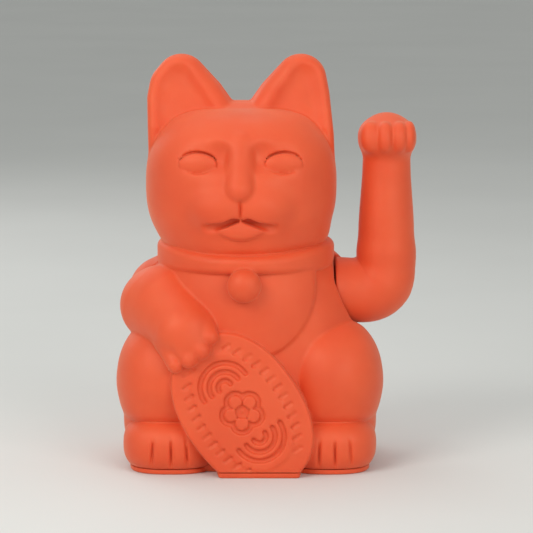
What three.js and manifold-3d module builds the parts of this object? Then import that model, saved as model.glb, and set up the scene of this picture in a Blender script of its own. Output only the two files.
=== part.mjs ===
// A battery-powered beckoning cat figurine, in millimetres.
// +Z is up, the cat faces -Y, and its raised arm is on the +X side.
// The origin is on the underside of the base plate, in the middle of the footprint.
//
// The figurine is two moulded half shells on a base plate. The plate carries the battery bay, the
// drive coil with its circuit board, and a tower in which a steel axle turns. A pendulum with a magnet
// hangs from the axle inside the cat, and the waving arm is pressed onto the axle's outer end.

import * as THREE from "three";
import { mergeVertices } from "three/addons/utils/BufferGeometryUtils.js";
import Module from "manifold-3d";

const wasm = await Module();
wasm.setup();

// ---------------------------------------------------------------- driving dimensions

const WALL = 2; // moulded wall of the shells
const GAP = 0.3; // clearance between pieces that meet
const PLATE = 1.8; // thickness of the base plate
const SHELL_FOOT = PLATE + 0.4; // height at which the shells begin
const FAR = 200; // longer than anything in the part
const OUTSIDE = 16; // facets round the outer surface of a rounded form
const INSIDE = 11; // and round its cavity

const HEAD = { x: -3.1, y: -1, z: 101.6, radii: [34.4, 31, 29.2] };
const EAR = { apart: 19.4, y: 2, z: 124, radii: [14, 7.5, 24], lean: 5 };
const COLLAR = { x: -1.5, y: -1.5, z: 77, radii: [28.7, 27], thickness: 3.5, height: 5 };
const COIN = { x: -1.8, y: -28.5, z: 23.6, halfWidth: 21, halfLength: 30, thickness: 14 };
const COIN_TURN = { tilt: 35, lean: -5 }; // in degrees, seen from the front and from the side

const PIVOT_Z = 61.8; // height of the arm's axle
const AXLE_R = 1.5;
const RUNNING = 0.1; // clearance of the axle in its bearings
const SOCKET_X = 31; // floor of the shoulder socket
const SOCKET_R = 13;
const ARM_X = 32; // inner end of the waving arm
const ARM_R = 11.3;
const ARM_WALL = 1.8;
const FOREARM_X = 49.4;
const FOREARM = [[75, 11.1], [90, 9.8], [103, 8.8], [110, 8.7], [120, 9]]; // [height, radius]
const PAW = { y: -2.5, z: 118.6, radii: [10.7, 11, 8.2] };

const CELL = { x: -13.5, z: 10, radius: 7.1, length: 49.2, back: 29.4 }; // an AA cell, front to back
const BAY = { half: 8, front: -25, back: 31, roof: 18, wall: 1.2 }; // its bay, to the inner faces
const DOOR = { half: 9, front: BAY.front + 1.5, tongue: 0.8, low: 0.75, high: 1.05 };

const PENDULUM_X = 13.75; // the plane in which the magnet swings, over the coil
const MAGNET = { radius: 7, low: 19.2, height: 4.8 };
const WEIGHT = { radius: 7, low: MAGNET.low + MAGNET.height + GAP, height: 10 };
const COIL = { radius: 9, height: 8.8 };
const UPRIGHT = { apart: 21.5, thickness: 3 }; // the two uprights of the tower
const FLANGE = { z: 5.3, thickness: 2, reach: 19 };
const BOARD = { x: 8, y: -23.3, z: 5.3, width: 20, depth: 7.2, thickness: 1.2 };

// Screws: the shank's radius and length, and the head's radius and height.
const BIG_SCREW = { radius: 1.25, length: 9, headRadius: 2.5, headHeight: 1.8 };
const TOWER_SCREW = { ...BIG_SCREW, length: 5 };
const BOARD_SCREW = { radius: 0.8, length: 3.6, headRadius: 1.5, headHeight: 1 };

// Where the screws stand: the four from below that hold the shells, the tower's and the board's.
const BASE_SCREWS = {
  base_screw_front_left: [-35, -19],
  base_screw_front_right: [34.5, -19],
  base_screw_back_left: [-30, 20],
  base_screw_back_right: [31.5, 16],
};
const TOWER_SCREWS = {
  tower_screw_front: [PENDULUM_X, -15.5],
  tower_screw_back: [PENDULUM_X, 15.5],
};
const BOARD_SCREWS = {
  board_screw_left: [BOARD.x - 8, BOARD.y],
  board_screw_right: [BOARD.x + 8, BOARD.y],
};

// ---------------------------------------------------------------- solids

// A closed geometry as a solid that can be joined and cut.
function solid(geometry) {
  const bare = geometry.clone();
  for (const name of ["normal", "uv"]) bare.deleteAttribute(name);
  const merged = mergeVertices(bare, 1e-4);
  return new wasm.Manifold(
    new wasm.Mesh({
      numProp: 3,
      vertProperties: new Float32Array(merged.attributes.position.array),
      triVerts: new Uint32Array(merged.index.array),
    }),
  );
}

// A solid as a geometry again.
function geometryOf(body) {
  const mesh = body.getMesh();
  const positions = new Float32Array(mesh.numVert * 3);
  for (let i = 0; i < mesh.numVert; i++) {
    positions.set(mesh.vertProperties.subarray(i * mesh.numProp, i * mesh.numProp + 3), i * 3);
  }
  const geometry = new THREE.BufferGeometry();
  geometry.setAttribute("position", new THREE.BufferAttribute(positions, 3));
  geometry.setIndex(new THREE.BufferAttribute(mesh.triVerts, 1));
  return geometry;
}

const union = (...bodies) => bodies.reduce((all, body) => all.add(body));
const cut = (body, ...tools) => tools.reduce((left, tool) => left.subtract(tool), body);
const degrees = THREE.MathUtils.degToRad;
const less = (radii, inset) => radii.map((r) => r - inset);

// A rounded block: a sphere whose points are pushed out towards its box, more so at a higher power.
function blob([x, y, z], [rx, ry, rz], { power = 2, turn = [0, 0, 0], around = OUTSIDE } = {}) {
  const sphere = new THREE.SphereGeometry(1, around, Math.round(around * 0.65)).rotateX(Math.PI / 2);
  const points = sphere.attributes.position;
  const p = new THREE.Vector3();
  for (let i = 0; i < points.count; i++) {
    p.fromBufferAttribute(points, i);
    const size = (Math.abs(p.x) ** power + Math.abs(p.y) ** power + Math.abs(p.z) ** power) ** (1 / power);
    p.divideScalar(size);
    points.setXYZ(i, p.x, p.y, p.z);
  }
  sphere.scale(rx, ry, rz);
  sphere.applyMatrix4(new THREE.Matrix4().makeRotationFromEuler(new THREE.Euler(...turn.map(degrees))));
  return solid(sphere.translate(x, y, z));
}

// A round limb: a ball at each end and the cone that touches both.
function limb(from, to, radiusFrom, radiusTo, around = OUTSIDE) {
  const start = new THREE.Vector3(...from);
  const along = new THREE.Vector3(...to).sub(start);
  const length = along.length();
  const tangent = Math.asin((radiusFrom - radiusTo) / length);
  const profile = [];
  const arc = (radius, centre, low, high, steps) => {
    for (let i = 0; i <= steps; i++) {
      const angle = low + ((high - low) * i) / steps;
      const across = Math.max(radius * Math.cos(angle), 0);
      profile.push(new THREE.Vector2(across, centre + radius * Math.sin(angle)));
    }
  };
  const steps = Math.round(around / 4);
  arc(radiusFrom, 0, -Math.PI / 2, tangent, steps);
  arc(radiusTo, length, tangent, Math.PI / 2, steps);
  const turn = new THREE.Quaternion().setFromUnitVectors(new THREE.Vector3(0, 1, 0), along.normalize());
  return solid(new THREE.LatheGeometry(profile, around).applyQuaternion(turn).translate(...from));
}

// A box between two corners.
function box([x0, y0, z0], [x1, y1, z1]) {
  const geometry = new THREE.BoxGeometry(x1 - x0, y1 - y0, z1 - z0);
  return solid(geometry.translate((x0 + x1) / 2, (y0 + y1) / 2, (z0 + z1) / 2));
}

// A cylinder along X, Y or Z through a point of the other two, from one coordinate to another.
function rod(axis, radius, [u, v], from, to, sides = 12, radiusTo = radius) {
  const geometry = new THREE.CylinderGeometry(radiusTo, radius, to - from, sides);
  const middle = (from + to) / 2;
  if (axis === "x") return solid(geometry.rotateZ(-Math.PI / 2).translate(middle, u, v));
  if (axis === "y") return solid(geometry.translate(u, middle, v));
  return solid(geometry.rotateX(Math.PI / 2).translate(u, v, middle));
}

// A solid turned about a vertical line, from its profile of [radius, height] points.
function turned(profile, [x, y, z], sides = 20) {
  const points = profile.map(([radius, height]) => new THREE.Vector2(radius, height));
  return solid(new THREE.LatheGeometry(points, sides).rotateX(Math.PI / 2).translate(x, y, z));
}

// A round wire of one radius along a smooth curve through the points.
function wire(points, radius, steps) {
  const curve = new THREE.CatmullRomCurve3(points.map((p) => new THREE.Vector3(...p)));
  const section = new THREE.Shape().absarc(0, 0, radius, 0, 2 * Math.PI);
  const settings = { steps, extrudePath: curve, curveSegments: 3, bevelEnabled: false };
  return solid(new THREE.ExtrudeGeometry(section, settings));
}

// A layer of the part between two heights, and its front and back halves.
const layer = (low, high) => box([-FAR, -FAR, low], [FAR, FAR, high]);
const frontHalf = (body) => body.intersect(box([-FAR, -FAR, -1], [FAR, -GAP / 2, FAR]));
const backHalf = (body) => body.intersect(box([-FAR, GAP / 2, -1], [FAR, FAR, FAR]));

// ---------------------------------------------------------------- the cat's form

// Each piece of the form takes an inset, so that the same description gives the outer surface
// (inset 0), the cavity behind the wall, and the base plate's register inside the shells.

function head(inset, around) {
  const skull = blob([HEAD.x, HEAD.y, HEAD.z], less(HEAD.radii, inset), { power: 2.5, around: around + 4 });
  const ears = [-1, 1].map((side) => {
    const turn = [0, side * EAR.lean, 0];
    const at = [HEAD.x + side * EAR.apart, EAR.y, EAR.z];
    return blob(at, less(EAR.radii, inset), { power: 2.1, turn, around });
  });
  return union(skull, ...ears);
}

function trunk(inset, around) {
  const seat = blob([-0.5, 3.2, 14], less([45.8, 35.8, 20], inset), { power: 2.9, around: around + 6 });
  const torso = blob([-1, 4.5, 32], less([41, 33.5, 54], inset), { power: 2.6, around: around + 4 });
  const belly = blob([-1, -12, 58], less([27, 20, 25], inset), { power: 2.2, around });
  return union(seat, torso, belly);
}

function legs(inset, around) {
  const sides = [-1, 1].map((side) => {
    const turn = [0, side * -8, side * 14];
    const radii = less([20, 28, 21.5], inset);
    const haunch = blob([side * 27.3, -4, 32.6], radii, { power: 2.25, turn, around });
    const foot = blob([side * 28.2, -14, 7.5], less([16.4, 17, 12.5], inset), { power: 2.3, around });
    return union(haunch, foot);
  });
  return union(...sides);
}

// The arm at rest runs from the shoulder down to the paw on the coin.
function restingArm(inset, around) {
  const arm = limb([-32.6, -6, 58.8], [-22.5, -27, 47], 14.6 - inset, 11 - inset, around);
  const paw = blob([-21, -30, 45], less([10.5, 9, 9.5], inset), { turn: [-30, 35, 0], around: around - 2 });
  return union(arm, paw);
}

// The oval coin leans on the belly and is cut off by the floor.
function coin(inset) {
  const edge = 1; // rounding of its rim
  const outline = new THREE.Shape();
  outline.absellipse(0, 0, COIN.halfWidth - inset - edge, COIN.halfLength - inset - edge, 0, 2 * Math.PI);
  const settings = {
    depth: COIN.thickness - inset - edge,
    bevelThickness: edge,
    bevelSize: edge,
    bevelSegments: 1,
    curveSegments: 10,
  };
  const geometry = new THREE.ExtrudeGeometry(outline, settings);
  geometry.translate(0, 0, -COIN.thickness / 2);
  geometry.rotateX(Math.PI / 2).rotateY(degrees(-COIN_TURN.tilt)).rotateX(degrees(COIN_TURN.lean));
  return solid(geometry.translate(COIN.x, COIN.y, COIN.z));
}

function tail(inset, around) {
  const root = blob([4, 32.5, 12], less([14, 8, 8.5], inset), { around });
  const tip = blob([15, 30.5, 17], less([9.5, 8, 10], inset), { turn: [0, -35, 0], around });
  return union(root, tip);
}

function body(inset, around) {
  const parts = [head, trunk, legs, restingArm, tail].map((part) => part(inset, around));
  const socket = rod("x", SOCKET_R + inset, [0, PIVOT_Z], SOCKET_X - inset, FAR, 24);
  return cut(union(coin(inset), ...parts), socket);
}

// The face's eyes, nose and muzzle, the collar and the bell only stand out on the outside.
function face() {
  const pair = (apart, y, z, radii) => {
    return [-1, 1].map((side) => blob([HEAD.x + side * apart, y, z], radii, { around: 12 }));
  };
  const eyes = pair(15.6, -25.5, 112.4, [6.7, 4, 4]);
  const lobes = pair(5.8, -28.4, 96, [7.5, 5.4, 5.2]);
  const nose = limb([HEAD.x, -25.5, 118], [HEAD.x, -31.4, 103.5], 3.4, 4.6, 10);
  return union(nose, ...eyes, ...lobes);
}

function collarAndBell() {
  const { x, y, z, radii, thickness, height } = COLLAR;
  const tube = thickness / radii[0];
  const ring = new THREE.TorusGeometry(1, tube, 6, 28).scale(...radii, height / tube);
  const bell = blob([-1.4, y - radii[1] - 3.6, z - 8], [6.1, 5.4, 6.1], { around: 14 });
  const neck = new THREE.CylinderGeometry(0.96, 0.96, 2, 28).rotateX(Math.PI / 2);
  neck.scale(...radii, height * 0.95);
  return union(solid(ring.translate(x, y, z)), solid(neck.translate(x, y, z)), bell);
}

const outer = union(body(0, OUTSIDE), face(), collarAndBell());
const cavity = body(WALL, INSIDE);
const room = body(WALL + GAP, INSIDE); // what fits inside the shells

// ---------------------------------------------------------------- shells and base

const BOSS_TOP = 4.6; // top of the base plate's bosses and register
const POST = { radius: 3.2, top: 15 }; // the shells' posts over those bosses
const HEAD_FROM = 0.5; // the screws' heads are sunk this far into the base plate
const shank = (at, low, high, screw = BIG_SCREW) => rod("z", screw.radius + GAP, at, low, high);

// A post inside a shell that takes a screw from below, with a rib to the wall at its side.
function screwPost([x, y]) {
  const post = rod("z", POST.radius, [x, y], BOSS_TOP + GAP, POST.top);
  const reach = x < 0 ? [-FAR, x] : [x, FAR];
  const rib = box([reach[0], y - 1, BOSS_TOP + GAP], [reach[1], y + 1, POST.top]);
  return union(post, rib).intersect(body(WALL / 2, INSIDE));
}

function shells() {
  const places = Object.values(BASE_SCREWS);
  const axleHole = rod("x", AXLE_R + 1.2, [0, PIVOT_Z], SOCKET_X - 10, SOCKET_X + 10, 16);
  const walls = cut(outer, cavity, axleHole);
  const whole = union(walls, ...places.map(screwPost)).intersect(layer(SHELL_FOOT, FAR));
  const drilled = cut(whole, ...places.map((at) => shank(at, 0, POST.top - 2)));
  return { front_shell: frontHalf(drilled), rear_shell: backHalf(drilled) };
}

// The battery bay is a housing around this space, open below.
function baySpace(wall = 0) {
  const reach = BAY.half + wall;
  return box([CELL.x - reach, BAY.front - wall, 0], [CELL.x + reach, BAY.back + wall, BAY.roof + wall]);
}

// The opening under the bay, and the slot in which the door slides out at the back.
function doorway() {
  const half = DOOR.half + GAP;
  const front = DOOR.front - GAP;
  const reach = half + DOOR.tongue;
  return union(
    box([CELL.x - half, front, -1], [CELL.x + half, FAR, PLATE + GAP]),
    box([CELL.x - reach, front, DOOR.low - GAP], [CELL.x + reach, FAR, DOOR.high + GAP]),
  );
}

// The hole from below that hides a base screw's head.
function counterbore(at) {
  const depth = HEAD_FROM + BIG_SCREW.headHeight + GAP;
  return rod("z", BIG_SCREW.headRadius + GAP, at, -1, depth, 16);
}

function basePlate() {
  const plate = outer.intersect(layer(0, PLATE));
  const register = cut(room, body(WALL + GAP + 1.2, INSIDE)).intersect(layer(PLATE - 0.5, BOSS_TOP));
  const bosses = [
    ...Object.values(BASE_SCREWS).map((at) => rod("z", 4, at, 1, BOSS_TOP)),
    ...Object.values(TOWER_SCREWS).map((at) => rod("z", 3, at, 1, FLANGE.z - GAP)),
    ...Object.values(BOARD_SCREWS).map((at) => rod("z", 2, at, 1, BOARD.z - GAP)),
  ];
  const inner = union(register, baySpace(BAY.wall), ...bosses).intersect(union(room, plate));
  const holes = [
    ...Object.values(BASE_SCREWS).map((at) => shank(at, -1, 6)),
    ...Object.values(BASE_SCREWS).map(counterbore),
    ...Object.values(TOWER_SCREWS).map((at) => shank(at, 1, 8)),
    ...Object.values(BOARD_SCREWS).map((at) => shank(at, 1, 8, BOARD_SCREW)),
  ];
  return cut(union(plate, inner), baySpace(), doorway(), ...holes);
}

function batteryDoor() {
  const { half, front, tongue, low, high } = DOOR;
  const panel = box([CELL.x - half, front, 0], [CELL.x + half, FAR, PLATE]);
  const tongues = box([CELL.x - half - tongue, front, low], [CELL.x + half + tongue, BAY.back - 1, high]);
  const grips = [0, 1, 2].map((i) => rod("x", 0.5, [24 + 2.2 * i, 0], CELL.x - 5, CELL.x + 5, 8));
  return cut(union(panel, tongues).intersect(outer), ...grips);
}

// A slotted screw that points up from z, or down to it.
function screw([x, y], z, { radius, length, headRadius, headHeight }, down = false) {
  const head = rod("z", headRadius, [0, 0], 0, headHeight, 14);
  const shaft = rod("z", radius, [0, 0], headHeight / 2, headHeight + length, 8, radius * 0.6);
  const slot = box([-headRadius * 0.7, -0.3, -1], [headRadius * 0.7, 0.3, headHeight / 2]);
  const made = cut(union(head, shaft), slot);
  return (down ? made.rotate([180, 0, 0]) : made).translate([x, y, z]);
}

// ---------------------------------------------------------------- the parts inside

const FLANGE_TOP = FLANGE.z + FLANGE.thickness + GAP;
const BOARD_TOP = BOARD.z + BOARD.thickness + GAP;
const TOWER_LEFT = PENDULUM_X - UPRIGHT.apart / 2 - UPRIGHT.thickness;
const TOWER_RIGHT = PENDULUM_X + UPRIGHT.apart / 2 + UPRIGHT.thickness;
const AXLE = { from: TOWER_LEFT - 2.5, to: ARM_X + 13 };
const axleRod = (radius, from, to, sides = 20) => rod("x", radius, [0, PIVOT_Z], from, to, sides);

// One tapering upright with a rounded top, from its left face.
function upright(x) {
  const side = new THREE.Shape();
  side.moveTo(-12, FLANGE.z);
  side.lineTo(12, FLANGE.z);
  side.absarc(0, PIVOT_Z, 5, 0, Math.PI);
  side.closePath();
  const settings = { depth: UPRIGHT.thickness, bevelEnabled: false, curveSegments: 8 };
  const geometry = new THREE.ExtrudeGeometry(side, settings).rotateX(Math.PI / 2).rotateZ(Math.PI / 2);
  return cut(solid(geometry.translate(x, 0, 0)), box([x - 1, -4, 24], [x + UPRIGHT.thickness + 1, 4, 46]));
}

// Two uprights on one flange, with a bearing hole at the top of each.
function tower() {
  const flange = box([TOWER_LEFT, -FLANGE.reach, FLANGE.z], [TOWER_RIGHT, FLANGE.reach, FLANGE_TOP - GAP]);
  const frame = union(flange, upright(TOWER_LEFT), upright(TOWER_RIGHT - UPRIGHT.thickness));
  const spigotHole = rod("z", 3, [PENDULUM_X, 0], 0, 20);
  const screwHoles = Object.values(TOWER_SCREWS).map((at) => shank(at, 0, 20));
  return cut(frame, spigotHole, ...screwHoles, axleRod(AXLE_R + RUNNING, TOWER_LEFT - 1, TOWER_RIGHT + 1));
}

// The bobbin has a spigot that drops into the tower's flange.
function coilBobbin() {
  const rim = COIL.radius + 1;
  const profile = [
    [0, -2], [2.6, -2], [2.6, 0], [rim, 0], [rim, 1], [3, 1],
    [3, COIL.height - 1], [rim, COIL.height - 1], [rim, COIL.height], [0, COIL.height],
  ];
  return turned(profile, [PENDULUM_X, 0, FLANGE_TOP]);
}

function coilWinding() {
  const [inside, low, high] = [3 + GAP, 1 + GAP, COIL.height - 1 - GAP];
  const profile = [[inside, low], [COIL.radius, low], [COIL.radius, high], [inside, high], [inside, low]];
  return turned(profile, [PENDULUM_X, 0, FLANGE_TOP]);
}

// The lever hangs from the axle and carries the weight and the magnet in a cup.
function pendulumLever() {
  const at = [PENDULUM_X, 0];
  const top = WEIGHT.low + WEIGHT.height + GAP;
  const hub = axleRod(4.5, PENDULUM_X - 8, PENDULUM_X + 8);
  const stem = box([PENDULUM_X - 2.5, -2, top + 0.5], [PENDULUM_X + 2.5, 2, PIVOT_Z]);
  const cup = rod("z", 8.5, at, MAGNET.low - 0.1, top + 2, 20);
  const pocket = rod("z", MAGNET.radius + GAP, at, 0, top, 20);
  return cut(union(hub, stem, cut(cup, pocket)), axleRod(AXLE_R + GAP, 0, 30));
}

// The weight and the magnet are discs in the lever's cup.
const hangingDisc = ({ radius, low, height }) => rod("z", radius, [PENDULUM_X, 0], low, low + height, 20);

function axleClip() {
  const x = TOWER_LEFT - 1.6;
  const ring = cut(axleRod(3.4, x, x + 0.9, 16), axleRod(AXLE_R + GAP, x - 1, x + 2, 16));
  return cut(ring, box([x - 1, -0.9, PIVOT_Z], [x + 2, 0.9, PIVOT_Z + 6]));
}

function circuitBoard() {
  const { x, y, z, width, depth, thickness } = BOARD;
  const panel = box([x - width / 2, y - depth / 2, z], [x + width / 2, y + depth / 2, z + thickness]);
  return cut(panel, ...Object.values(BOARD_SCREWS).map((at) => shank(at, 0, 20, BOARD_SCREW)));
}

const capacitor = () => rod("z", 2.4, [BOARD.x - 3.7, BOARD.y + 0.2], BOARD_TOP, BOARD_TOP + 7, 14);

function driverChip() {
  const [x, y] = [BOARD.x + 0.9, BOARD.y - 0.6];
  return box([x - 1.9, y - 2, BOARD_TOP], [x + 1.9, y + 2, BOARD_TOP + 1.5]);
}

function transistor() {
  const at = [BOARD.x + 4.6, BOARD.y + 0.6];
  const can = rod("z", 1.7, at, BOARD_TOP, BOARD_TOP + 4.6, 14);
  return can.intersect(box([at[0] - 4, at[1] - 1.1, 0], [at[0] + 4, at[1] + 4, 40]));
}

// ---------------------------------------------------------------- battery and wires

function batteryCell() {
  const at = [CELL.x, CELL.z];
  const can = rod("y", CELL.radius, at, CELL.back - CELL.length, CELL.back - 1, 20);
  return can.add(rod("y", 2.7, at, CELL.back - 2, CELL.back));
}

const leaf = (from, to) => box([CELL.x - 6, from, CELL.z - 6.5], [CELL.x + 6, to, CELL.z + 6.5]);

// The negative contact is a conical spring on a leaf.
function springContact() {
  const turns = 2.5;
  const steps = 30;
  const from = BAY.front + 1;
  const to = CELL.back - CELL.length - 0.8;
  const points = [];
  for (let i = 0; i <= steps; i++) {
    const share = i / steps;
    const angle = 2 * Math.PI * turns * share;
    const radius = 5 - 2.2 * share;
    points.push([
      CELL.x + radius * Math.cos(angle),
      from + (to - from) * share,
      CELL.z + radius * Math.sin(angle),
    ]);
  }
  return union(wire(points, 0.45, steps), leaf(BAY.front + GAP, BAY.front + 1.1));
}

const plateContact = () => leaf(BAY.back - 1, BAY.back - GAP);

const WIRE_R = 0.6;
const ROOF = BAY.roof + BAY.wall + GAP + WIRE_R; // the height of a wire that lies on the battery bay
const ON_BOARD = BOARD_TOP + WIRE_R;
const WIRES = {
  // from the spring contact's end of the bay to the board
  wire_battery_black: [
    [CELL.x + 4, BAY.front + 2, ROOF], [-5, -23.2, ROOF + 0.6], [-2.6, -24, 18], [-2, -24.8, 12],
    [-0.6, -26, 8.4], [1.8, -26.1, ON_BOARD],
  ],
  // from the plate contact's end along the roof of the bay to the board
  wire_battery_red: [
    [CELL.x + 3, BAY.back - 2, ROOF], [-10, 24, ROOF], [-9, 4, ROOF], [-8.5, -12, ROOF],
    [-4.8, -17, ROOF + 0.6], [-2.2, -19.4, 16], [-1.6, -20.6, 10], [1.6, -20.6, ON_BOARD],
  ],
  // the two ends of the winding to the board
  wire_coil_start: [
    [PENDULUM_X - 2, -11.2, FLANGE_TOP + 3], [PENDULUM_X - 4, -14, 10.4], [PENDULUM_X - 4.8, -17.5, 9.8],
    [PENDULUM_X - 5, -20.8, ON_BOARD],
  ],
  wire_coil_end: [
    [PENDULUM_X + 4, -10.8, FLANGE_TOP + 5], [PENDULUM_X + 5, -14, 10.5], [PENDULUM_X + 4, -17.5, 9.8],
    [PENDULUM_X + 2.2, -20.8, ON_BOARD],
  ],
};

// ---------------------------------------------------------------- the waving arm

// The arm leaves the shoulder sideways, turns up at the elbow and ends in a paw that curls forward.
function armForm(inset, around) {
  const bendFrom = new THREE.Vector3(FOREARM_X - 9.4, 0, PIVOT_Z);
  const bendTo = new THREE.Vector3(FOREARM_X, 0, FOREARM[0][0]);
  const elbow = new THREE.CurvePath();
  elbow.add(new THREE.LineCurve3(new THREE.Vector3(ARM_X + inset, 0, PIVOT_Z), bendFrom));
  elbow.add(new THREE.QuadraticBezierCurve3(bendFrom, new THREE.Vector3(FOREARM_X, 0, PIVOT_Z), bendTo));
  const section = new THREE.Shape().absarc(0, 0, ARM_R - inset, 0, 2 * Math.PI);
  const settings = { steps: 7, extrudePath: elbow, curveSegments: around / 2, bevelEnabled: false };
  const upper = solid(new THREE.ExtrudeGeometry(section, settings));
  const top = FOREARM[FOREARM.length - 1][0];
  const profile = FOREARM.map(([z, radius]) => [radius - inset, z]);
  const forearm = turned([[0, FOREARM[0][0]], ...profile, [0, top]], [FOREARM_X, 0, 0], around);
  const knuckle = blob([FOREARM_X - 0.2, 0, FOREARM[0][0]], less([11, 11, 9], inset), { around });
  const paw = blob([FOREARM_X, PAW.y, PAW.z], less(PAW.radii, inset), { power: 2.2, around });
  return union(upper, forearm, knuckle, paw);
}

function armHalves() {
  const axleHole = axleRod(AXLE_R + 1, ARM_X - 1, ARM_X + 4, 16);
  const wall = cut(armForm(0, OUTSIDE), armForm(ARM_WALL, INSIDE), axleHole);
  return { arm_front_half: frontHalf(wall), arm_rear_half: backHalf(wall) };
}

// A flanged boss between the halves, which grips the end of the axle.
function armHub() {
  const from = ARM_X + ARM_WALL + GAP;
  const flange = axleRod(ARM_R - ARM_WALL - 0.9, from, from + 2);
  const boss = axleRod(4, from, from + 12, 16);
  return cut(union(flange, boss), axleRod(AXLE_R + GAP, from - 1, AXLE.to + GAP, 16));
}

// ---------------------------------------------------------------- materials

function finish(color, roughness, metalness = 0) {
  return new THREE.MeshStandardMaterial({ color, roughness, metalness });
}

const coral = finish(0xeb6240, 0.62);
const ivory = finish(0xe8e2d2, 0.55);
const steel = finish(0xb9bcc0, 0.3, 1);
const nickel = finish(0xc9c6bd, 0.25, 1);
const copper = finish(0xb5622d, 0.35, 1);
const laminate = finish(0x2f6b3a, 0.5);
const black = finish(0x1c1c1e, 0.5);
const red = finish(0xb3261c, 0.5);
const sleeve = finish(0x6d7a80, 0.35);
const WIRE_FINISHES = { wire_battery_black: black, wire_battery_red: red };

// ---------------------------------------------------------------- assembly

const cat = new THREE.Group();
const housing = new THREE.Group();
const door = new THREE.Group();
const wavingArm = new THREE.Group();
cat.add(housing, door, wavingArm);

function place(group, name, body, material) {
  const mesh = new THREE.Mesh(geometryOf(body), material);
  mesh.name = name;
  group.add(mesh);
}

for (const [name, body] of Object.entries(shells())) place(housing, name, body, coral);
place(housing, "base_plate", basePlate(), coral);
for (const [name, at] of Object.entries(BASE_SCREWS)) {
  place(housing, name, screw(at, HEAD_FROM, BIG_SCREW), steel);
}

place(housing, "bearing_tower", tower(), ivory);
for (const [name, at] of Object.entries(TOWER_SCREWS)) {
  place(housing, name, screw(at, FLANGE_TOP + TOWER_SCREW.headHeight, TOWER_SCREW, true), steel);
}
place(housing, "coil_bobbin", coilBobbin(), ivory);
place(housing, "coil_winding", coilWinding(), copper);
place(housing, "circuit_board", circuitBoard(), laminate);
for (const [name, at] of Object.entries(BOARD_SCREWS)) {
  place(housing, name, screw(at, BOARD_TOP + BOARD_SCREW.headHeight, BOARD_SCREW, true), steel);
}
place(housing, "capacitor", capacitor(), black);
place(housing, "transistor", transistor(), black);
place(housing, "driver_chip", driverChip(), black);

place(housing, "battery_cell", batteryCell(), sleeve);
place(housing, "battery_spring", springContact(), nickel);
place(housing, "battery_contact", plateContact(), nickel);
for (const [name, points] of Object.entries(WIRES)) {
  place(housing, name, wire(points, WIRE_R, points.length * 3), WIRE_FINISHES[name] ?? copper);
}

place(door, "battery_door", batteryDoor(), coral);

for (const [name, body] of Object.entries(armHalves())) place(wavingArm, name, body, coral);
place(wavingArm, "arm_hub", armHub(), ivory);
place(wavingArm, "axle", axleRod(AXLE_R, AXLE.from, AXLE.to), steel);
place(wavingArm, "axle_clip", axleClip(), steel);
place(wavingArm, "pendulum_lever", pendulumLever(), ivory);
place(wavingArm, "counterweight", hangingDisc(WEIGHT), steel);
place(wavingArm, "drive_magnet", hangingDisc(MAGNET), nickel);

export default cat;
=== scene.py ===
"""The looks of a beckoning cat figurine of matt coral plastic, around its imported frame.

The cat is sculpted as a distance field in millimetres, meshed finely, and cut into the half shells
that the frame has. The base plate, the door and the round inner pieces are turned and cut solids.
The other inner pieces are the frame's own, with their own materials.
"""

import math

import bmesh
import bpy
import numpy as np
from mathutils import Matrix, Vector


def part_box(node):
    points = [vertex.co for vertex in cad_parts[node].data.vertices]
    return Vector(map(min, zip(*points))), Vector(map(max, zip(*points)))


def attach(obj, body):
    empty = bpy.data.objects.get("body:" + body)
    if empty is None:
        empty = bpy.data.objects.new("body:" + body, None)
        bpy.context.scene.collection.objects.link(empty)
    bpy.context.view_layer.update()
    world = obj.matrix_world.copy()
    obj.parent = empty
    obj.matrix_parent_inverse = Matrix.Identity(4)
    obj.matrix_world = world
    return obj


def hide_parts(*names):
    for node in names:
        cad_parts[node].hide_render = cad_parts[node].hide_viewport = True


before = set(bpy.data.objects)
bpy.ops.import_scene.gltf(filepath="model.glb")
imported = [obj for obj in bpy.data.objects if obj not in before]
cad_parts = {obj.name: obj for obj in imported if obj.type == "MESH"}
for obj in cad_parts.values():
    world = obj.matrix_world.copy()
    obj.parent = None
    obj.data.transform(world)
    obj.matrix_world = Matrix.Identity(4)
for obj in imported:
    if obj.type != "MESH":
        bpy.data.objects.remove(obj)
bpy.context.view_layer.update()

MM = 0.001
COARSE = 1.0

# ---------------------------------------------------------------- camera, light and floor

FOCAL = 206.7  # mm, on a 36 mm sensor
CAMERA_AT, LOOK_AT = (6, -1100, 233), (6, 0, 70.6)  # mm
FLOOR_HALF = 8000  # mm, from the middle of the floor to its edge


def aim(thing, at, target):
    """Puts a camera or light at a point, in mm, looking at a target."""
    thing.location = Vector(at) * MM
    direction = (Vector(target) - Vector(at)).normalized()
    thing.rotation_euler = direction.to_track_quat("-Z", "Y").to_euler()


def make_camera():
    data = bpy.data.cameras.new("camera")
    data.lens = FOCAL
    data.sensor_width = 36
    data.clip_end = 20
    camera = bpy.data.objects.new("camera", data)
    bpy.context.scene.collection.objects.link(camera)
    aim(camera, CAMERA_AT, LOOK_AT)
    bpy.context.scene.camera = camera
    bpy.context.scene.view_settings.view_transform = "Standard"


def softbox(name, at, target, size, watts, colour):
    """A rectangular area light, with its places and size in mm."""
    data = bpy.data.lights.new(name, "AREA")
    data.shape = "RECTANGLE"
    data.size, data.size_y = size[0] * MM, size[1] * MM
    data.energy = watts
    data.color = colour
    light = bpy.data.objects.new(name, data)
    bpy.context.scene.collection.objects.link(light)
    aim(light, at, target)


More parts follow.
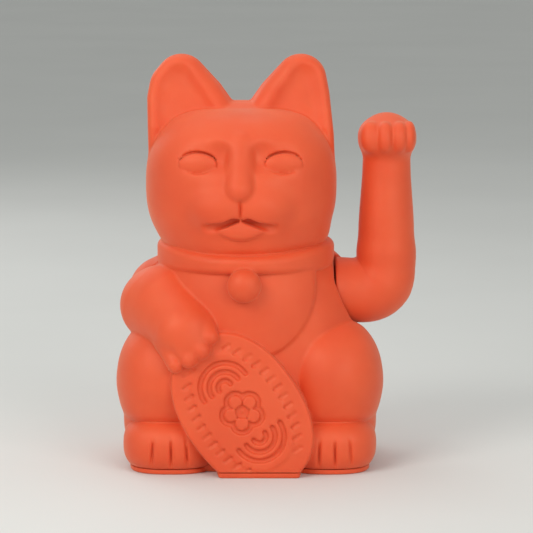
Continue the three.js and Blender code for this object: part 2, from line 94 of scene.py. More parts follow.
def make_studio():
    """A wide pale floor under a pale sky, a large soft key from the upper left, and soft fills."""
    softbox("key", (-430, -560, 540), (0, 0, 70), (420, 420), 3.1, (1.0, 0.98, 0.93))
    softbox("fill", (400, -680, 380), (0, 0, 70), (480, 420), 2.3, (1.0, 0.99, 0.95))
    softbox("top", (-60, 120, 720), (0, 0, 60), (500, 500), 1.1, (1.0, 0.99, 0.97))
    softbox("back", (-420, 620, 420), (0, 0, 80), (360, 360), 0.9, (1.0, 0.97, 0.95))
    world = bpy.data.worlds.new("studio")
    world.use_nodes = True
    background = world.node_tree.nodes["Background"]
    background.inputs["Color"].default_value = (0.94, 0.95, 0.92, 1)
    background.inputs["Strength"].default_value = 0.47
    bpy.context.scene.world = world

    made = bmesh.new()
    edge = FLOOR_HALF * MM
    corners = ((-edge, -edge, 0), (edge, -edge, 0), (edge, edge, 0), (-edge, edge, 0))
    made.faces.new([made.verts.new(corner) for corner in corners])
    floor = piece_of(made, "floor", floor_material())


# ---------------------------------------------------------------- distance fields


def smooth_min(a, b, soft):
    """The union of two distances, with a fillet of about soft where they meet."""
    h = np.maximum(soft - np.abs(a - b), 0) / soft
    return np.minimum(a, b) - h * h * soft / 4


def smooth_max(a, b, soft):
    return -smooth_min(-a, -b, soft)


def rounded_corner(a, b, radius):
    """The overlap of two regions, where their edge is rounded to a radius."""
    a, b = a + radius, b + radius
    return np.hypot(np.maximum(a, 0), np.maximum(b, 0)) + np.minimum(np.maximum(a, b), 0) - radius


def turn_matrix(x, y, z):
    """A turn about Z, then Y, then X, in degrees."""
    return np.array(
        Matrix.Rotation(math.radians(x), 3, "X")
        @ Matrix.Rotation(math.radians(y), 3, "Y")
        @ Matrix.Rotation(math.radians(z), 3, "Z")
    )


class Form:
    """A shape given by its distance function, and the ball that holds it."""

    def __init__(self, distance, centre, reach):
        self.distance = distance
        self.centre = np.array(centre, float)
        self.reach = reach

    def near(self, p):
        return np.sum((p - self.centre) ** 2, axis=1) < (self.reach + 6) ** 2


def add(d, p, form, soft):
    """Joins a form to the field d at the points p. Soft is a width, or a function of the points."""
    near = form.near(p)
    q = p[near]
    width = soft(q) if callable(soft) else soft
    d[near] = smooth_min(d[near], form.distance(q), width)


def carve(d, p, form, soft):
    """Cuts a form out of the field d at the points p, with a fillet of soft."""
    near = form.near(p)
    d[near] = smooth_max(d[near], -form.distance(p[near]), soft)


def blob(centre, radii, power=2.0, turn=(0, 0, 0)):
    """A rounded block: an ellipsoid that fills its box more at a higher power."""
    centre, radii = np.array(centre, float), np.array(radii, float)
    matrix = turn_matrix(*turn)

    def distance(p):
        q = np.abs((p - centre) @ matrix) / radii + 1e-6
        raised = q ** (power - 1)
        size = np.sum(raised * q, axis=1) ** (1 / power)
        slope = size ** (1 - power) * np.sqrt(np.sum((raised / radii) ** 2, axis=1))
        return (size - 1) / slope

    return Form(distance, centre, radii.max() * 1.2)


def limb(start, end, radius_start, radius_end):
    """A round limb whose radius runs from one end's to the other's."""
    start, end = np.array(start, float), np.array(end, float)
    along = end - start

    def distance(p):
        t = np.clip((p - start) @ along / (along @ along), 0, 1)
        gap = np.linalg.norm(p - start - t[:, None] * along, axis=1)
        return gap - radius_start - (radius_end - radius_start) * t

    reach = np.linalg.norm(along) / 2 + max(radius_start, radius_end)
    return Form(distance, (start + end) / 2, reach)


def oval_gap(x, y, across, up, power=2.0):
    """The signed distance from points to an oval, true near its line."""
    x, y = np.abs(x) / across + 1e-6, np.abs(y) / up + 1e-6
    size = (x**power + y**power) ** (1 / power)
    slope = size ** (1 - power) * np.hypot(x ** (power - 1) / across, y ** (power - 1) / up)
    return (size - 1) / slope


def polygon_gap(x, y, corners):
    """The signed distance from points to a convex outline whose corners run anticlockwise."""
    inside = np.full(len(x), -np.inf)
    outside = np.full(len(x), np.inf)
    for (ax, ay), (bx, by) in zip(corners, corners[1:] + corners[:1]):
        ex, ey = bx - ax, by - ay
        length = math.hypot(ex, ey)
        dx, dy = x - ax, y - ay
        inside = np.maximum(inside, (dx * ey - dy * ex) / length)
        t = np.clip((dx * ex + dy * ey) / length**2, 0, 1)
        outside = np.minimum(outside, np.hypot(dx - t * ex, dy - t * ey))
    return np.where(inside > 0, outside, inside)


# ---------------------------------------------------------------- the cat's form, in mm

WALL = 2.0  # thickness of the body's shells
ARM_WALL = 1.8
SEAM = 0.03  # half the gap between front and rear halves
FOOT = 2.2  # where the shells begin, above the base plate
PLATE = 1.8  # thickness of the base plate
MIDDLE = -3.1  # the head's middle plane
PIVOT = 61.8  # height of the arm's axle
SOCKET = 30.3  # X of the shoulder socket's floor
SOCKET_RADIUS = 13
ARM = 31.0  # X where the arm begins
BEVEL, BEVEL_REACH = 0.3, 0.55  # depth of the seam's bevel, and how far it runs from the seam
SIDES = (-1, 1)


def ear(side):
    """A rounded triangle, thick at its root, with a rim round a shallow scoop."""
    edge = 9.2
    left, right = [(24.1, 112), (24.6, 132), (23.8, 136)], [(24.4, 112), (24.1, 119), (22.6, 133)]
    corners = (left if side < 0 else right) + [(21.5, 138.7), (14.8, 131.4), (7.5, 121)]

    def distance(p):
        x, y, z = (p[:, 0] - MIDDLE) * side, p[:, 1], p[:, 2]
        inner_slope = 0.35 * np.interp(x, (12, 26), (1, 0))
        outline = polygon_gap(x - inner_slope * np.clip(-y, 0, 9), z, corners) - edge
        height = np.clip(z - 122, 0, 26)
        front, back = 9.4 - 0.25 * height, 8.0 - 0.13 * height
        plate = rounded_corner(outline, np.where(y < 0, -y - front, y - back), 3.6)
        rim = np.interp(x, (17, 27), (4.4, 2.9))
        scoop = smooth_max(outline + rim, y + front - 2.2, 5.5)
        return smooth_max(plate, -scoop, 2.6)

    return Form(distance, (MIDDLE + side * 18, 0, 128), 26)


def eye_outline(p, side, across=6.7, up=4.0, middle=111.7):
    """The distance to an eye's almond, seen from the front."""
    return oval_gap((p[:, 0] - MIDDLE) * side - 15.2, p[:, 2] - middle, across, up, 1.85)


def eye_recess(side):
    """The almond-shaped cut that the eye lies in."""

    def distance(p):
        return smooth_max(eye_outline(p, side), p[:, 1] + 25.5, 0.3)

    return Form(distance, (MIDDLE + side * 15.2, -28, 111.7), 9)


def eye(side):
    """A shallow dome that fills the recess, but for a dark line under the upper lid."""
    dome = blob((MIDDLE + side * 15, -23.4, 110.9), (11.6, 5.7, 6.0), turn=(0, 0, side * 9.5))

    def distance(p):
        return smooth_max(dome.distance(p), eye_outline(p, side, 6.7, 3.8, 111.05), 0.3)

    return Form(distance, (MIDDLE + side * 15.2, -27, 111.7), 9)


def nose():
    """A straight bridge down to a bulb, cut to a blunt V below."""
    bridge = limb((MIDDLE, -24.2, 118), (MIDDLE - 0.4, -31.5, 102.4), 4.3, 5.3)

    def distance(p):
        under = 97.8 + 0.62 * np.abs(p[:, 0] - MIDDLE + 0.5) - p[:, 2]
        return smooth_max(bridge.distance(p), under * 0.78, 1.2)

    return Form(distance, bridge.centre, bridge.reach)


def muzzle():
    """Two soft lobes that meet in a groove under the nose."""
    lobes = [blob((MIDDLE + side * 6.1, -27.5, 95.7), (10.8, 7.9, 7.8)) for side in SIDES]

    def distance(p):
        return smooth_min(lobes[0].distance(p), lobes[1].distance(p), 0.5)

    return Form(distance, (MIDDLE, -27, 95.5), 18)


def lip():
    """The leaf-shaped lower lip, peaked in the middle, with crisp upper edges."""
    swell = blob((MIDDLE, -23.4, 87.4), (18, 9.6, 9))

    def distance(p):
        x, z = p[:, 0] - MIDDLE, p[:, 2]
        over = (z - 91.3 + 0.42 * np.abs(x)) * 0.93
        under = 84.0 + 0.043 * x**2 - z
        return smooth_max(smooth_max(swell.distance(p), under, 2.4), over, 0.5)

    return Form(distance, (MIDDLE, -28, 87.5), 12)


def head(p, fine=True):
    """A rounded block with brow, cheeks and ears. The face is carved only when fine."""
    d = blob((MIDDLE, -1, 101.6), (34.4, 31, 29.6), 2.5).distance(p)
    d = smooth_max(d, p[:, 2] - 129.7, 5)
    add(d, p, blob((MIDDLE, 2.5, 122), (14, 12, 8.9), 2.6), 2)
    add(d, p, blob((MIDDLE, -9, 86), (21, 21.2, 12), 2.8), 4)
    add(d, p, blob((-1.6, -2, 85), (30, 24, 9), 2.6), 3)
    for side in SIDES:
        add(d, p, ear(side), lambda q: np.interp(q[:, 1], (-1, 4), (0.7, 1.0)))
    if not fine:
        return d
    for side in SIDES:
        carve(d, p, blob((MIDDLE + side * 14, -32.5, 113.8), (11.5, 4.3, 6.0), turn=(-14, 0, 0)), 4)
        carve(d, p, blob((MIDDLE + side * 7.6, -31.6, 114.3), (3.4, 4.2, 4.4), 2.4, (-10, 0, 0)), 3.0)
        carve(d, p, eye_recess(side), 0.4)
        add(d, p, eye(side), 0.12)
    add(d, p, muzzle(), 5)
    add(d, p, nose(), 1.4)
    carve(d, p, blob((MIDDLE - 0.1, -34.7, 94.4), (0.35, 1.6, 4.4)), 0.9)
    for side in SIDES:
        mouth = limb((MIDDLE + side * 3.2, -31.5, 91.3), (MIDDLE + side * 11.4, -31.1, 88.8), 2.3, 1.1)
        carve(d, p, mouth, 2.2)
    add(d, p, lip(), 0.5)
    return d


def collar():
    """A wide rounded band round the neck, lower and narrower in front."""

    def distance(p):
        x, y = p[:, 0] + 1.5, p[:, 1] + 1.5
        front = np.clip(-y / 28, 0, 1) ** 2
        across = oval_gap(x, y, 32, 30.9)
        upright = np.abs(p[:, 2] - 76.3 + 1.0 * front) - 5 + 1.75 * front
        return rounded_corner(across, upright, 2.6)

    return Form(distance, (-1.5, -1.5, 76.3), 36)


def bib():
    """The belly's raised front, U-shaped seen from the front."""
    bulge = blob((-1, -3, 54), (33, 28.2, 44), 2.2)

    def distance(p):
        x, z = p[:, 0] + 1, p[:, 2]
        outline = np.hypot(np.where(x < 0, 0.75 * x, x), np.minimum(z - 66, 0)) - 24.6
        return smooth_max(bulge.distance(p), np.maximum(outline, z - 74), 1.5)

    return Form(distance, (-1, -18, 66), 42)


def trunk(p, fine=True):
    """The seated body with its shoulders, bib, tail, haunches and feet."""
    d = blob((-0.5, 6, 14), (44.8, 33, 20), 2.9).distance(p)
    add(d, p, blob((-1, 4.5, 32), (41, 33.5, 54), 2.6), 5)
    add(d, p, blob((-29, 8, 56.5), (16, 14, 17), 2.3), 3)
    add(d, p, blob((24.5, 9, 58.5), (12.8, 13, 17.8), 2.3), 3)
    add(d, p, bib(), 0.6)
    add(d, p, blob((3, 33.4, 10.5), (15, 8, 7.5)), 1.0)
    add(d, p, blob((16, 31, 17), (7.5, 8.6, 11), turn=(0, -35, 0)), 1.0)
    for side in SIDES:
        turn = (0, side * -8, side * 14)
        add(d, p, blob((side * 27.3, -4, 32.6), (19.8, 28, 21.5), 2.25, turn), 0.7)
        add(d, p, blob((side * 28.5, -6, 24), (18, 23.2, 9.5), 2.8), 2)
        add(d, p, blob((side * 29.3, -3, 17), (16.6, 18, 13), 3), 1.5)
        add(d, p, blob((side * 28.4, -15.5, 9.0), (17.2, 17.8, 11.0), 2.6), 0.4)
    if fine:
        for x in (-34.8, -28, -22.3, 24.7, 30.4, 36.1):
            carve(d, p, toe_line(x), 0.9)
    return d


def toe_line(x):
    """A short shallow line down the front of a foot, leaning out from the foot's middle."""
    lean = (abs(x) - 28.6) * 0.5 * np.sign(x)
    back = 0.009 * (abs(x) - 28.4) ** 2
    return blob((x, -33.4 + back, 6.4), (0.45, 2.0, 7.2), turn=(0, -lean, 0))


def resting_arm(p):
    """From the shoulder down to the paw, whose four toes curl over the coin's rim."""
    d = limb((-33.2, -8, 57.8), (-24, -26.5, 51.0), 13.7, 10.3).distance(p)
    add(d, p, limb((-29, -14, 61.3), (-20.9, -26.8, 51.8), 11.0, 8.4), 6)
    add(d, p, limb((-24, -26.5, 50.5), (-20.8, -29.2, 47.2), 9.8, 8.5), 2)
    ends = [
        ((-29.4, -28, 47), (-26.3, -34.4, 40.4), 4.0, 2.9),
        ((-26, -28, 50), (-21.6, -35.2, 42.6), 4.6, 3.2),
        ((-21, -27, 53), (-17.0, -35.2, 45.9), 4.6, 3.2),
        ((-18, -25, 57), (-13.9, -33.6, 50.4), 4.6, 3.0),
    ]
    toes = np.full(len(p), np.inf)
    for start, end, radius_start, radius_end in ends:
        toes = smooth_min(toes, limb(start, end, radius_start, radius_end).distance(p), 0.3)
    return smooth_min(d, toes, 1.5)


# The coin's middle, its half width and half height, how far its face is out from the middle, and
# the degrees that it tips to one side and leans back.
COIN = {"centre": (-2.6, -28.5, 23.1), "across": 20.9, "up": 30, "face": 7.0, "tilt": 35, "lean": -5}


def coin_axes(p):
    """Points in the coin's own axes: across it, up its length, and out of its face."""
    matrix = np.array(
        Matrix.Rotation(math.radians(COIN["lean"]), 3, "X")
        @ Matrix.Rotation(math.radians(-COIN["tilt"]), 3, "Y")
    )
    q = (p - np.array(COIN["centre"])) @ matrix
    return q[:, 0], q[:, 2], -q[:, 1]


def chisel_marks(u, w):
    """The distance to the short level marks down both sides of the border."""
    spacing, half = 3.7, 1.4
    row = np.round(w / spacing) * spacing
    reach = COIN["across"] * np.sqrt(np.clip(1 - (row / COIN["up"]) ** 2, 0, 1)) - 5.6
    gap = np.hypot(np.maximum(np.abs(np.abs(u) - reach) - half, 0), w - row)
    return np.where((np.abs(row) < 24) & (w + 0.35 * u > -22), gap, 9)


def ornament(u, w):
    """The distance to the engraved lines: a five-petalled blossom between fans of arcs."""
    petals = np.full(len(u), np.inf)
    for i in range(5):
        a = math.pi / 2 + i * 2 * math.pi / 5
        petals = np.minimum(petals, np.hypot(u - 4.2 * math.cos(a), w - 4.2 * math.sin(a)) - 3.2)
    line = np.abs(petals)
    line = np.minimum(line, np.abs(np.hypot(u, w) - 1.5))
    for way in SIDES:
        rise = way * w - 10.6
        for radius in (2.4, 5.6, 8.8):
            arc = np.abs(np.hypot(u, np.maximum(rise, 0)) - radius)
            ends = np.hypot(np.abs(u) - radius, rise)
            line = np.minimum(line, np.where(rise > 0, arc, ends))
    return line


def coin(fine=True):
    """An oval that stands out from the belly. Its border and ornament are cut only when fine."""

    def distance(p):
        u, w, n = coin_axes(p)
        outline = oval_gap(u, w, COIN["across"], COIN["up"], 2.25)
        face = COIN["face"]
        d = rounded_corner(outline, n - face, 1.5)
        if not fine:
            return d
        panel = smooth_max(np.abs(outline + 3.9) - 3.1, face - 0.35 - n, 0.5)
        d = smooth_max(d, -panel, 0.5)
        d = smooth_max(d, 0.62 - np.hypot(chisel_marks(u, w), n - face + 0.3), 0.25)
        lines = smooth_max(ornament(u, w) - 0.85, face - 1.1 - n, 0.5)
        return smooth_max(d, -lines, 0.35)

    return Form(distance, COIN["centre"], 32)


def seam(p):
    """The small bevel along the joint between the halves."""
    return BEVEL * np.clip(1 - np.abs(p[:, 1]) / BEVEL_REACH, 0, None)


def body(p, fine=True):
    """The whole of the cat but its raised arm, with a socket for that arm's shoulder."""
    d = trunk(p, fine)
    d = smooth_min(d, head(p, fine), 0.6)
    add(d, p, collar(), 0.5)
    if fine:
        add(d, p, blob((-1.9, -32.2, 68.4), (6.1, 5.4, 6.1)), 0.4)
    add(d, p, coin(fine), 0.5)
    d = smooth_min(d, resting_arm(p), 0.9)
    socket = smooth_max(np.hypot(p[:, 1], p[:, 2] - PIVOT) - SOCKET_RADIUS, SOCKET - p[:, 0], 0.8)
    return smooth_max(d, -socket, 0.8)


def chain(p, line, radii):
    """A round limb along stations of (x, z) with a radius at each."""
    d = np.full(len(p), np.inf)
    for (x0, z0), (x1, z1), r0, r1 in zip(line, line[1:], radii, radii[1:]):
        d = np.minimum(d, limb((x0, 0, z0), (x1, 0, z1), r0, r1).distance(p))
    return d


def waving_arm(p, fine=True):
    """The raised arm: out of the shoulder, round the elbow and up to a paw that curls forward."""
    bend_from, corner, bend_to = np.array([(41, 61.8), (50, 61.8), (49.5, 75)])
    t = np.linspace(0, 1, 13)[:, None]
    bend = (1 - t) ** 2 * bend_from + 2 * t * (1 - t) * corner + t**2 * bend_to
    elbow = np.concatenate([[(ARM, 62.2)], bend])
    d = chain(p, elbow, np.append(11.9, np.interp(t[:, 0], (0, 0.5, 1), (11.6, 11.6, 10.1))))
    heights = np.linspace(77, 118, 15)
    forearm = np.stack([np.full(15, 49.4), heights], axis=-1)
    radii = np.interp(heights, (77, 84, 90, 103, 110, 118), (9.9, 10.15, 9.85, 8.85, 8.6, 8.8))
    d = smooth_min(d, chain(p, forearm, radii), 3.5)
    add(d, p, blob((49.5, -2.2, 117.9), (10.5, 10.2, 7.1), 2.5), 2.5)
    if fine:
        for x, half in ((43.4, 3.1), (48.5, 2.6), (53.5, 2.7), (57.0, 2.1)):
            back = 3.2 * ((x - 49.6) / 9) ** 2
            toe = blob((x, -8.9 + back, 118.6), (half * 1.24, 5.2, 5.7), 2.3, (-12, 0, 0))
            add(d, p, toe, 0.6)
    return rounded_corner(d, ARM - p[:, 0], 0.6)


# ---------------------------------------------------------------- from field to mesh


def in_chunks(field, points, size=150_000):
    """The field at many points, worked out in chunks to save memory."""
    return np.concatenate([field(points[i : i + size]) for i in range(0, len(points), size)])


def sample(field, axes, block=5):
    """The field on a grid, exact in the blocks that the surface may cross and only signed elsewhere."""
    steps = [np.unique(np.append(np.arange(0, len(a), block), len(a) - 1)) for a in axes]
    coarse_axes = [a[s] for a, s in zip(axes, steps)]
    points = np.stack(np.meshgrid(*coarse_axes, indexing="ij"), axis=-1).reshape(-1, 3)
    coarse = in_chunks(field, points).reshape([len(a) for a in coarse_axes])
    corners = [
        coarse[i : i + coarse.shape[0] - 1, j : j + coarse.shape[1] - 1, k : k + coarse.shape[2] - 1]
        for i in (0, 1) for j in (0, 1) for k in (0, 1)
    ]
    nearest = np.min(np.abs(corners), axis=0)
    # A block can't be crossed where its corners are all further off than its diagonal.
    reach = 1.1 * math.sqrt(sum(np.max(np.diff(a)) ** 2 for a in coarse_axes))
    crossed = nearest < reach
    owner = [np.minimum(np.arange(len(a)) // block, len(s) - 2) for a, s in zip(axes, steps)]
    values = np.where(corners[0] < 0, -reach, reach)[np.ix_(*owner)].astype(np.float32)
    wanted = np.argwhere(crossed[np.ix_(*owner)])
    exact = np.stack([a[wanted[:, i]] for i, a in enumerate(axes)], axis=-1)
    values[tuple(wanted.T)] = in_chunks(field, exact)
    return values


def settle(field, points, reach):
    """Moves points onto the surface along the field's slope, no further than reach."""
    corners = np.array([(1, 1, 1), (1, -1, -1), (-1, 1, -1), (-1, -1, 1)], float)
    h = 0.04  # mm, the step that the slope is measured over
    start = points.copy()
    for _ in range(2):
        found = [in_chunks(field, points + h * c) for c in corners]
        slope = sum(f[:, None] * c for f, c in zip(found, corners)) / (4 * h)
        level = sum(found) / 4
        step = level[:, None] * slope / np.maximum(np.sum(slope**2, axis=1), 0.25)[:, None]
        points = start + np.clip(points - step - start, -reach, reach)
    return points


def surface(field, axes):
    """The field's surface as points and quads, one point in each cell that it crosses."""
    values = sample(field, axes)
    inside = values < 0
    shape = [n - 1 for n in values.shape]
    count = np.zeros(shape, np.uint8)
    offsets = [(i, j, k) for i in (0, 1) for j in (0, 1) for k in (0, 1)]
    for i, j, k in offsets:
        count += inside[i : i + shape[0], j : j + shape[1], k : k + shape[2]]
    cells = np.argwhere((count > 0) & (count < 8))
    number = np.full(shape, -1, np.int64)
    number[tuple(cells.T)] = np.arange(len(cells))

    total, hits = np.zeros((len(cells), 3)), np.zeros(len(cells))
    for axis in range(3):
        for offset in offsets:
            if offset[axis]:
                continue
            low = cells + offset
            high = low.copy()
            high[:, axis] += 1
            a, b = values[tuple(low.T)], values[tuple(high.T)]
            crosses = (a < 0) != (b < 0)
            share = np.where(crosses, a / np.where(crosses, a - b, 1), 0)
            at = np.stack([axes[i][low[:, i]] for i in range(3)], axis=-1)
            at[:, axis] += share * (axes[axis][high[:, axis]] - axes[axis][low[:, axis]])
            total += at * crosses[:, None]
            hits += crosses
    points = total / hits[:, None]

    quads = []
    for axis in range(3):
        u, v = (axis + 1) % 3, (axis + 2) % 3
        low = [slice(None)] * 3
        high = [slice(None)] * 3
        low[axis], high[axis] = slice(0, -1), slice(1, None)
        changes = np.argwhere(inside[tuple(low)] != inside[tuple(high)])
        keep = (changes[:, u] > 0) & (changes[:, v] > 0)
        keep &= (changes[:, u] < shape[u]) & (changes[:, v] < shape[v])
        changes = changes[keep]
        ring = []
        for du, dv in ((1, 1), (0, 1), (0, 0), (1, 0)):
            cell = changes.copy()
            cell[:, u] -= du
            cell[:, v] -= dv
            ring.append(number[tuple(cell.T)])
        ring = np.stack(ring, axis=-1)
        outward = inside[tuple(changes.T)]
        ring[~outward] = ring[~outward][:, ::-1]
        quads.append(ring)
    return points, np.concatenate(quads)


def grid_axis(low, high, step, fine_near=None):
    """Steps from low to high, with finer ones about the seam where a plane is given."""
    steps = np.arange(low, high + step, step)
    if fine_near is None:
        return steps
    steps = steps[np.abs(steps - fine_near) > 0.9]
    close = np.array([-0.75, -0.5, -0.3, -0.1, 0.1, 0.3, 0.5, 0.75])
    return np.sort(np.concatenate([steps, fine_near + close]))


def closed_below(field, floor):
    """The field cut off by a floor, so that its mesh closes there."""
    return lambda p: np.maximum(field(p), floor - p[:, 2])


def half_shell(name, outer, inner, box, steps, front, floor=None, material=None):
    """Half of a hollow form: its outer and inner surfaces, cut at the seam and closed there.

    box is the ranges of X, Y and Z that hold the half, and floor the height of its lower edge.
    """
    made = bmesh.new()
    for field, step, flip in ((outer, steps[0], False), (inner, steps[1], True)):
        axes = [
            grid_axis(*box[0], step),
            grid_axis(*box[1], step, 0.0),
            grid_axis(*box[2], step),
        ]
        points, quads = surface(field, axes)
        points = settle(field, points, step * 0.6)
        verts = [made.verts.new(q) for q in points * MM]
        for ring in quads:
            made.faces.new([verts[i] for i in (ring[::-1] if flip else ring)]).smooth = True
    way = 1 if front else -1
    cut_and_close(made, (0, -way * SEAM * MM, 0), (0, way, 0))
    if floor is not None:
        cut_and_close(made, (0, 0, floor * MM), (0, 0, -1))
    return piece_of(made, name, material)


def cut_and_close(made, at, normal):
    """Cuts off what is past a plane, and closes the wall that is cut through."""
    everything = made.verts[:] + made.edges[:] + made.faces[:]
    done = bmesh.ops.bisect_plane(
        made, geom=everything, dist=1e-7, plane_co=at, plane_no=normal, clear_outer=True
    )
    edges = [e for e in done["geom_cut"] if isinstance(e, bmesh.types.BMEdge)]
    filled = bmesh.ops.triangle_fill(made, edges=edges, use_beauty=True, normal=normal)
    for f in filled["geom"]:
        if isinstance(f, bmesh.types.BMFace):
            f.smooth = False
    for e in edges:
        e.smooth = False


def piece_of(made, name, material):
    """An object in the scene from a bmesh, which is used up."""
    mesh = bpy.data.meshes.new(name)
    made.to_mesh(mesh)
    made.free()
    if material:
        mesh.materials.append(material)
    thing = bpy.data.objects.new(name, mesh)
    bpy.context.scene.collection.objects.link(thing)
    return thing


# ---------------------------------------------------------------- turned and cut solids


def from_rows(rows, closed=False):
    """A closed mesh from rings of points in mm, all of one length, capped or joined end to end."""
    made = bmesh.new()
    rows = [[made.verts.new(Vector(q) * MM) for q in row] for row in rows]
    for low, high in zip(rows, rows[1:] + rows[:1] if closed else rows[1:]):
        for i in range(len(low)):
            j = (i + 1) % len(low)
            made.faces.new((low[i], low[j], high[j], high[i]))
    if not closed:
        made.faces.new(rows[0][::-1])
        made.faces.new(rows[-1])
    return made


def turned(profile, at, axis="z", sides=64, closed=False):
    """A solid turned about an axis through a point, from a profile of (radius, along)."""
    across, up, along = {"x": (1, 2, 0), "y": (2, 0, 1), "z": (0, 1, 2)}[axis]
    angles = np.linspace(0, 2 * math.pi, sides, endpoint=False)
    rows = []
    for radius, height in profile:
        row = np.tile(np.array(at, float), (sides, 1))
        row[:, across] += radius * np.cos(angles)
        row[:, up] += radius * np.sin(angles)
        row[:, along] += height
        rows.append(row)
    return from_rows(rows, closed)


def box_solid(low, high):
    """A box between two corners in mm."""
    (x0, y0, z0), (x1, y1, z1) = low, high
    return from_rows([[(x0, y0, z), (x1, y0, z), (x1, y1, z), (x0, y1, z)] for z in (z0, z1)])


def finished(made, name, material, angle=35):
    """The piece of a mesh, smooth except at its sharp edges."""
    thing = piece_of(made, name, material)
    thing.data.shade_smooth()
    thing.data.set_sharp_from_angle(angle=math.radians(angle))
    return thing


def combined(made, steps):
    """A mesh with others joined to it, cut from it or kept in common, from [(operation, mesh)]."""
    whole = piece_of(made, "whole", None)
    others = []
    for operation, other in steps:
        tool = piece_of(other, "tool", None)
        others.append(tool)
        change = whole.modifiers.new(operation, "BOOLEAN")
        change.operation = operation
        change.solver = "EXACT"
        change.object = tool
    bpy.context.view_layer.update()
    result = bmesh.new()
    result.from_object(whole, bpy.context.evaluated_depsgraph_get())
    for thing in (whole, *others):
        bpy.data.objects.remove(thing)
    return result


# ---------------------------------------------------------------- materials


def new_material(name):
    material = bpy.data.materials.new(name)
    material.use_nodes = True
    tree = material.node_tree
    return material, tree, tree.nodes["Principled BSDF"]


def noise(tree, scale, detail=2.0, roughness=0.5):
    """Noise in the object's own space, with scale in cycles per metre."""
    place = tree.nodes.new("ShaderNodeTexCoord")
    made = tree.nodes.new("ShaderNodeTexNoise")
    made.inputs["Scale"].default_value = scale
    made.inputs["Detail"].default_value = detail
    made.inputs["Roughness"].default_value = roughness
    tree.links.new(place.outputs["Object"], made.inputs["Vector"])
    return made.outputs["Fac"]


def ramp(tree, value, low, high, at=(0.35, 0.65)):
    """A ramp between two colours, over a range of the value."""
    made = tree.nodes.new("ShaderNodeValToRGB")
    first, last = made.color_ramp.elements
    first.position, last.position = at
    first.color, last.color = (*low, 1), (*high, 1)
    tree.links.new(value, made.inputs["Fac"])
    return made.outputs["Color"]


def bump(tree, shader, heights):
    """Bumps of [(value, depth in mm)], one on top of the other."""
    normal = None
    for value, depth in heights:
        made = tree.nodes.new("ShaderNodeBump")
        made.inputs["Strength"].default_value = 1.0
        made.inputs["Distance"].default_value = depth * MM
        tree.links.new(value, made.inputs["Height"])
        if normal is not None:
            tree.links.new(normal, made.inputs["Normal"])
        normal = made.outputs["Normal"]
    tree.links.new(normal, shader.inputs["Normal"])


def floor_material():
    material, tree, shader = new_material("floor")
    clouds = ramp(tree, noise(tree, 6, 3), (0.70, 0.715, 0.705), (0.72, 0.735, 0.725))
    tree.links.new(clouds, shader.inputs["Base Color"])
    shader.inputs["Roughness"].default_value = 0.8
    shader.inputs["Specular IOR Level"].default_value = 0.2
    return material


def coral_plastic():
    """Matt moulded plastic, slightly translucent, with the fine grain of a blasted mould."""
    material, tree, shader = new_material("coral_plastic")
    clouds = ramp(tree, noise(tree, 45, 3), (0.71, 0.063, 0.012), (0.76, 0.079, 0.018))
    tree.links.new(clouds, shader.inputs["Base Color"])
    sheen_marks = ramp(tree, noise(tree, 160, 4), (0.56,) * 3, (0.64,) * 3)
    tree.links.new(sheen_marks, shader.inputs["Roughness"])
    shader.inputs["Subsurface Weight"].default_value = 0.3
    shader.inputs["Subsurface Radius"].default_value = (1.0, 0.22, 0.08)
    shader.inputs["Subsurface Scale"].default_value = 3.0 * MM
    shader.inputs["Specular IOR Level"].default_value = 0.75
    # Painted reflection colour: the yellowish specular tint stands for light reflected from
    # greenish-yellow surroundings, which the pale studio does not have.
    shader.inputs["Specular Tint"].default_value = (1.0, 0.94, 0.72, 1)
    shader.inputs["Sheen Weight"].default_value = 0.18
    shader.inputs["Sheen Roughness"].default_value = 0.5
    # Painted reflection colour as well: the sheen tint gives the sheen the same yellowish cast of
    # greenish-yellow surroundings.
    shader.inputs["Sheen Tint"].default_value = (1.0, 0.86, 0.6, 1)
    bump(tree, shader, [(noise(tree, 3200, 2), 0.012), (noise(tree, 260, 2), 0.03)])
    return material


def plain_plastic(name, low, high, roughness=0.45):
    """A moulded plastic that varies a little in colour, with a fine grain."""
    material, tree, shader = new_material(name)
    tree.links.new(ramp(tree, noise(tree, 120, 3), low, high), shader.inputs["Base Color"])
    rough = ramp(tree, noise(tree, 400, 2), (roughness - 0.05,) * 3, (roughness + 0.06,) * 3)
    tree.links.new(rough, shader.inputs["Roughness"])
    bump(tree, shader, [(noise(tree, 4000, 2), 0.008)])
    return material


def metal(name, low, high, roughness=0.3):
    """A drawn or plated metal, with fine marks and cloudy wear."""
    material, tree, shader = new_material(name)
    tree.links.new(ramp(tree, noise(tree, 300, 4), low, high), shader.inputs["Base Color"])
    rough = ramp(tree, noise(tree, 900, 3), (roughness - 0.06,) * 3, (roughness + 0.1,) * 3)
    tree.links.new(rough, shader.inputs["Roughness"])
    shader.inputs["Metallic"].default_value = 1.0
    bump(tree, shader, [(noise(tree, 2500, 3), 0.004)])
    return material


